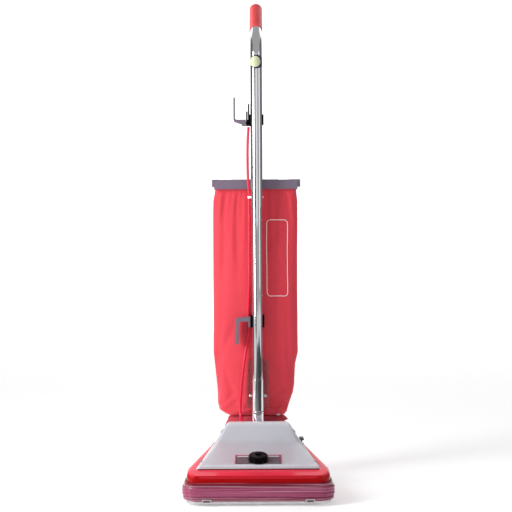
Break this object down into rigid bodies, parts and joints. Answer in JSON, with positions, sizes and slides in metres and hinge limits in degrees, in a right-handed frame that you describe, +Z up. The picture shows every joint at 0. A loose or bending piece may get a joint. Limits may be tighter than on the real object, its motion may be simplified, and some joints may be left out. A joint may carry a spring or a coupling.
{
  "type": "upright vacuum cleaner",
  "caption": "Commercial upright vacuum cleaner with a tilting chrome tube handle, cord hooks, fabric outer bag, silver motor hood and a red nozzle with a brush roll.",
  "frame": {"origin": "centre of the plan outline, on the floor that the wheels stand on", "axes": "+Z up, +X across the machine to the right as seen from its front, +Y from the nozzle back towards the user"},
  "size_m": [0.37, 0.454, 1.2989],
  "materials": {
    "red_paint": "gloss, die-cast nozzle",
    "silver_paint": "satin silver",
    "chrome": "polished chrome plate",
    "steel": "zinc plated",
    "dark_metal": "satin black",
    "casting": "grey casting",
    "black_plastic": "fine grain",
    "grey_plastic": "fine grain",
    "rubber": "matte",
    "tyre": "matte",
    "clear_vinyl": "clear tinted",
    "clear_sheet": "clear",
    "bag_fabric": "woven polyester",
    "boot_fabric": "woven polyester",
    "paper": "filter paper",
    "red_vinyl": "soft satin vinyl",
    "lead_jacket": "smooth red jacket",
    "aluminium": "cast",
    "copper": "wound copper",
    "carbon": "carbon",
    "wood": "turned",
    "bristle": "nylon tufts",
    "decal": "printed film",
    "label": "printed film"
  },
  "bodies": {
    "base": {"nozzle_housing": "red_paint", "furniture_guard": "clear_vinyl", "bottom_plate": "steel", "latch_studs": "steel", "brush_end_caps": "black_plastic", "belt": "rubber", "fan_chamber": "casting", "motor_case": "dark_metal", "motor_stator": "copper", "motor_bearings": "steel", "carbon_brushes": "carbon", "base_pan": "dark_metal", "hood": "silver_paint", "hood_screws": "steel", "height_decal": "decal", "carriage_pivot": "steel", "rear_axle": "steel", "exhaust_duct": "black_plastic", "bag_boot": "boot_fabric", "lead_gland": "lead_jacket", "bail_brackets": "dark_metal", "bail_pins": "steel", "pedal_pin": "steel"},
    "brush": {"brush_roll": "wood", "bristle_strips": "bristle"},
    "motor": {"motor_shaft": "steel", "armature": "copper", "fan": "aluminium"},
    "knob": {"height_knob": "black_plastic"},
    "carriage": {"wheel_carriage": "steel", "front_axle": "steel"},
    "front_wheel_l": {"front_wheel_left": "tyre"},
    "front_wheel_r": {"front_wheel_right": "tyre"},
    "rear_wheel_l": {"rear_wheel_left": "tyre"},
    "rear_wheel_r": {"rear_wheel_right": "tyre"},
    "latch_l": {"plate_latch_left": "steel"},
    "latch_r": {"plate_latch_right": "steel"},
    "pedal": {"release_pedal": "dark_metal"},
    "handle": {"handle_bail": "steel", "handle_socket": "chrome", "socket_screws": "chrome", "guard_sheet": "clear_sheet", "lower_tube": "chrome", "upper_tube": "chrome", "hand_grip": "red_vinyl", "round_label": "label", "switch_box": "black_plastic", "mains_gland": "rubber", "upper_hook_base": "black_plastic", "lower_hook_base": "black_plastic", "lower_hook": "grey_plastic", "lead_clip": "chrome", "motor_lead": "lead_jacket", "bag_hook": "steel", "bag_spring": "steel", "bag_cap": "grey_plastic", "outer_bag": "bag_fabric", "inner_bag": "paper"},
    "hook": {"upper_hook": "grey_plastic"},
    "rocker": {"switch_rocker": "black_plastic"}
  },
  "joints": [
    {"name": "handle_tilt", "type": "hinge", "parent": "base", "child": "handle", "pos_m": [0, 0.068, 0.075], "axis": [-1, 0, 0], "range_deg": [0, 70], "deforming": ["bag_boot", "motor_lead"]},
    {"name": "brush_spin", "type": "hinge", "parent": "base", "child": "brush", "pos_m": [0, -0.182, 0.03], "axis": [1, 0, 0], "continuous": true},
    {"name": "motor_spin", "type": "hinge", "parent": "base", "child": "motor", "pos_m": [0, -0.032, 0.068], "axis": [0, 1, 0], "continuous": true},
    {"name": "knob_turn", "type": "hinge", "parent": "base", "child": "knob", "pos_m": [0, -0.152, 0.09757], "axis": [0, -0.2354, 0.9719], "range_deg": [0, 270]},
    {"name": "carriage_tilt", "type": "hinge", "parent": "base", "child": "carriage", "pos_m": [0, -0.052, 0.024], "axis": [1, 0, 0], "range_deg": [0, 12]},
    {"name": "front_wheel_left_spin", "type": "hinge", "parent": "carriage", "child": "front_wheel_l", "pos_m": [-0.065, -0.122, 0.014], "axis": [1, 0, 0], "continuous": true},
    {"name": "front_wheel_right_spin", "type": "hinge", "parent": "carriage", "child": "front_wheel_r", "pos_m": [0.065, -0.122, 0.014], "axis": [1, 0, 0], "continuous": true},
    {"name": "rear_wheel_left_spin", "type": "hinge", "parent": "base", "child": "rear_wheel_l", "pos_m": [-0.073, 0.103, 0.03], "axis": [1, 0, 0], "continuous": true},
    {"name": "rear_wheel_right_spin", "type": "hinge", "parent": "base", "child": "rear_wheel_r", "pos_m": [0.073, 0.103, 0.03], "axis": [1, 0, 0], "continuous": true},
    {"name": "plate_latch_left_turn", "type": "hinge", "parent": "base", "child": "latch_l", "pos_m": [-0.11, -0.1415, 0.008], "axis": [0, 0, 1], "range_deg": [0, 90]},
    {"name": "plate_latch_right_turn", "type": "hinge", "parent": "base", "child": "latch_r", "pos_m": [0.11, -0.1415, 0.008], "axis": [0, 0, -1], "range_deg": [0, 90]},
    {"name": "release_pedal_press", "type": "hinge", "parent": "base", "child": "pedal", "pos_m": [0.114, 0.092, 0.084], "axis": [1, 0, 0], "range_deg": [0, 15], "stiffness_Nm_per_rad": 1.5, "springref_deg": -17.19},
    {"name": "upper_hook_turn", "type": "hinge", "parent": "handle", "child": "hook", "pos_m": [-0.033, 0.071, 0.953], "axis": [1, 0, 0], "range_deg": [0, 180]},
    {"name": "switch_rock", "type": "hinge", "parent": "handle", "child": "rocker", "pos_m": [0, 0.1, 1.069], "axis": [-1, 0, 0], "range_deg": [0, 16]}
  ],
  "couplings": [
    {"joint": "motor_spin", "follows": "brush_spin", "ratio": 1.8235},
    {"joint": "carriage_tilt", "follows": "knob_turn", "ratio": 0.044444}
  ]
}
